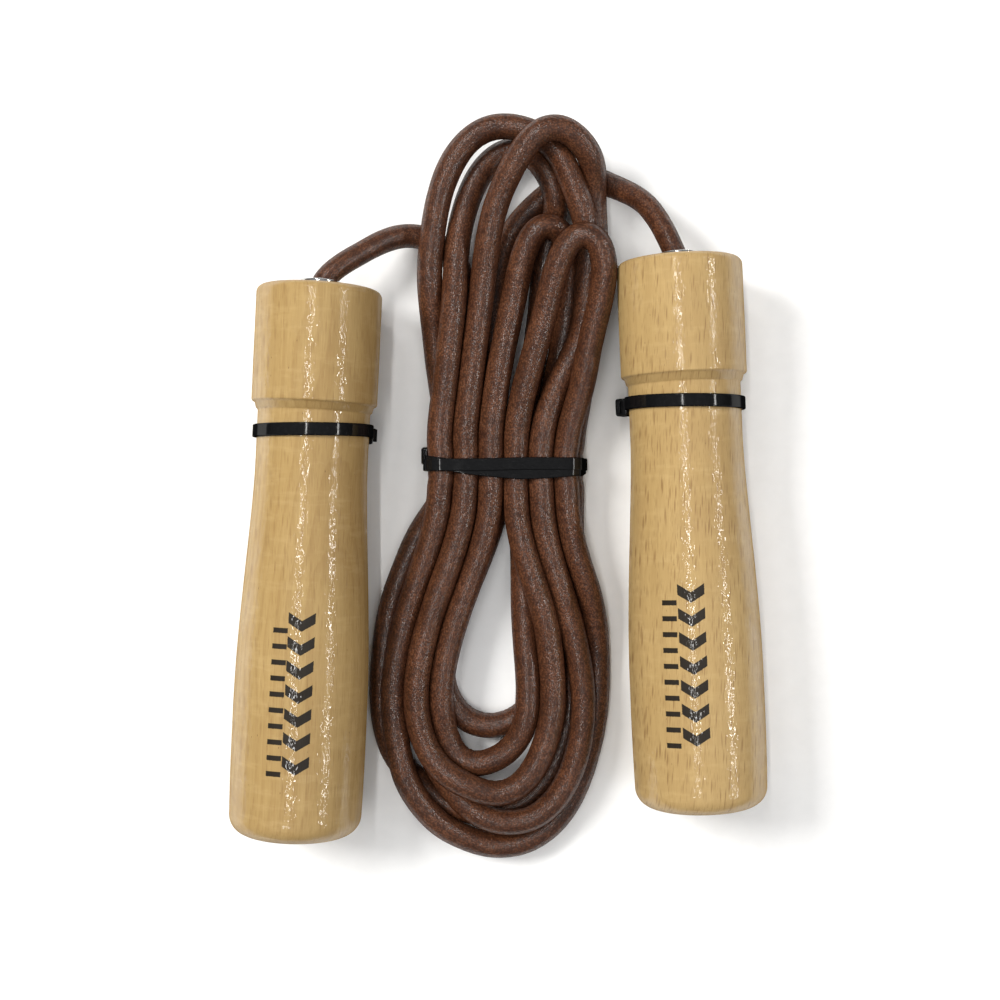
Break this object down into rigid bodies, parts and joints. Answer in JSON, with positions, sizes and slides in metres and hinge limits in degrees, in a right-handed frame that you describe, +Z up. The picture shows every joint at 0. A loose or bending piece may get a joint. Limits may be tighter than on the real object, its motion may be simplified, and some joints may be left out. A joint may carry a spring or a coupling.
{
  "type": "jump rope",
  "caption": "Leather skipping rope with turned wooden handles on bearing swivels, coiled into a flat bundle and bound with cable ties.",
  "frame": {"origin": "on the surface the coil lies on, under the middle of the whole object's bounding box", "axes": "+X from the left handle to the right handle, +Y from the handle butts towards their mouths, +Z up from the surface"},
  "size_m": [0.1444, 0.2044, 0.0358],
  "materials": {
    "leather": "oiled round leather cord, fine grain",
    "wood": "clear-lacquered pale beech",
    "nylon": "glossy black nylon",
    "bright_steel": "plated steel",
    "bearing_steel": "ground bearing steel"
  },
  "bodies": {
    "coil": {"rope_coil": "leather", "coil_tie": "nylon"},
    "left_lead": {"left_rope_lead": "leather"},
    "left_end": {"left_rope_end": "leather", "left_swivel_bush": "bright_steel", "left_bearing_inner_race": "bearing_steel", "left_stop_washer": "bright_steel", "left_stop_pin": "bright_steel"},
    "left_grip": {"left_handle": "wood", "left_handle_tie": "nylon", "left_bearing_outer_race": "bearing_steel", "left_bearing_shields": "bright_steel"},
    "left_cage": {"left_bearing_cage": "bearing_steel", "left_bearing_balls": "bearing_steel"},
    "right_lead": {"right_rope_lead": "leather"},
    "right_end": {"right_rope_end": "leather", "right_swivel_bush": "bright_steel", "right_bearing_inner_race": "bearing_steel", "right_stop_washer": "bright_steel", "right_stop_pin": "bright_steel"},
    "right_grip": {"right_handle": "wood", "right_handle_tie": "nylon", "right_bearing_outer_race": "bearing_steel", "right_bearing_shields": "bright_steel"},
    "right_cage": {"right_bearing_cage": "bearing_steel", "right_bearing_balls": "bearing_steel"}
  },
  "joints": [
    {"name": "left_sway", "type": "hinge", "parent": "coil", "child": "left_lead", "pos_m": [-0.02578, 0.07075, 0.00726], "axis": [0, 0, 1], "range_deg": [-25, 0]},
    {"name": "left_lift", "type": "hinge", "parent": "left_lead", "child": "left_end", "pos_m": [-0.03672, 0.06487, 0.014], "axis": [1, 0, 0], "range_deg": [-60, 0]},
    {"name": "left_spin", "type": "hinge", "parent": "left_end", "child": "left_grip", "pos_m": [-0.04807, 0.05412, 0.0179], "axis": [0.0462, 0.9989, 0], "continuous": true},
    {"name": "left_cage_spin", "type": "hinge", "parent": "left_end", "child": "left_cage", "pos_m": [-0.04807, 0.05412, 0.0179], "axis": [0.0462, 0.9989, 0], "continuous": true},
    {"name": "right_sway", "type": "hinge", "parent": "coil", "child": "right_lead", "pos_m": [0.03175, 0.0845, 0.00627], "axis": [0, 0, 1], "range_deg": [0, 25]},
    {"name": "right_lift", "type": "hinge", "parent": "right_lead", "child": "right_end", "pos_m": [0.04148, 0.07662, 0.0132], "axis": [1, 0, 0], "range_deg": [-60, 0]},
    {"name": "right_spin", "type": "hinge", "parent": "right_end", "child": "right_grip", "pos_m": [0.04868, 0.06162, 0.0179], "axis": [-0.0419, 0.9991, 0], "continuous": true},
    {"name": "right_cage_spin", "type": "hinge", "parent": "right_end", "child": "right_cage", "pos_m": [0.04868, 0.06162, 0.0179], "axis": [-0.0419, 0.9991, 0], "continuous": true}
  ],
  "couplings": [
    {"joint": "left_cage_spin", "follows": "left_spin", "ratio": 0.582},
    {"joint": "right_cage_spin", "follows": "right_spin", "ratio": 0.582}
  ]
}
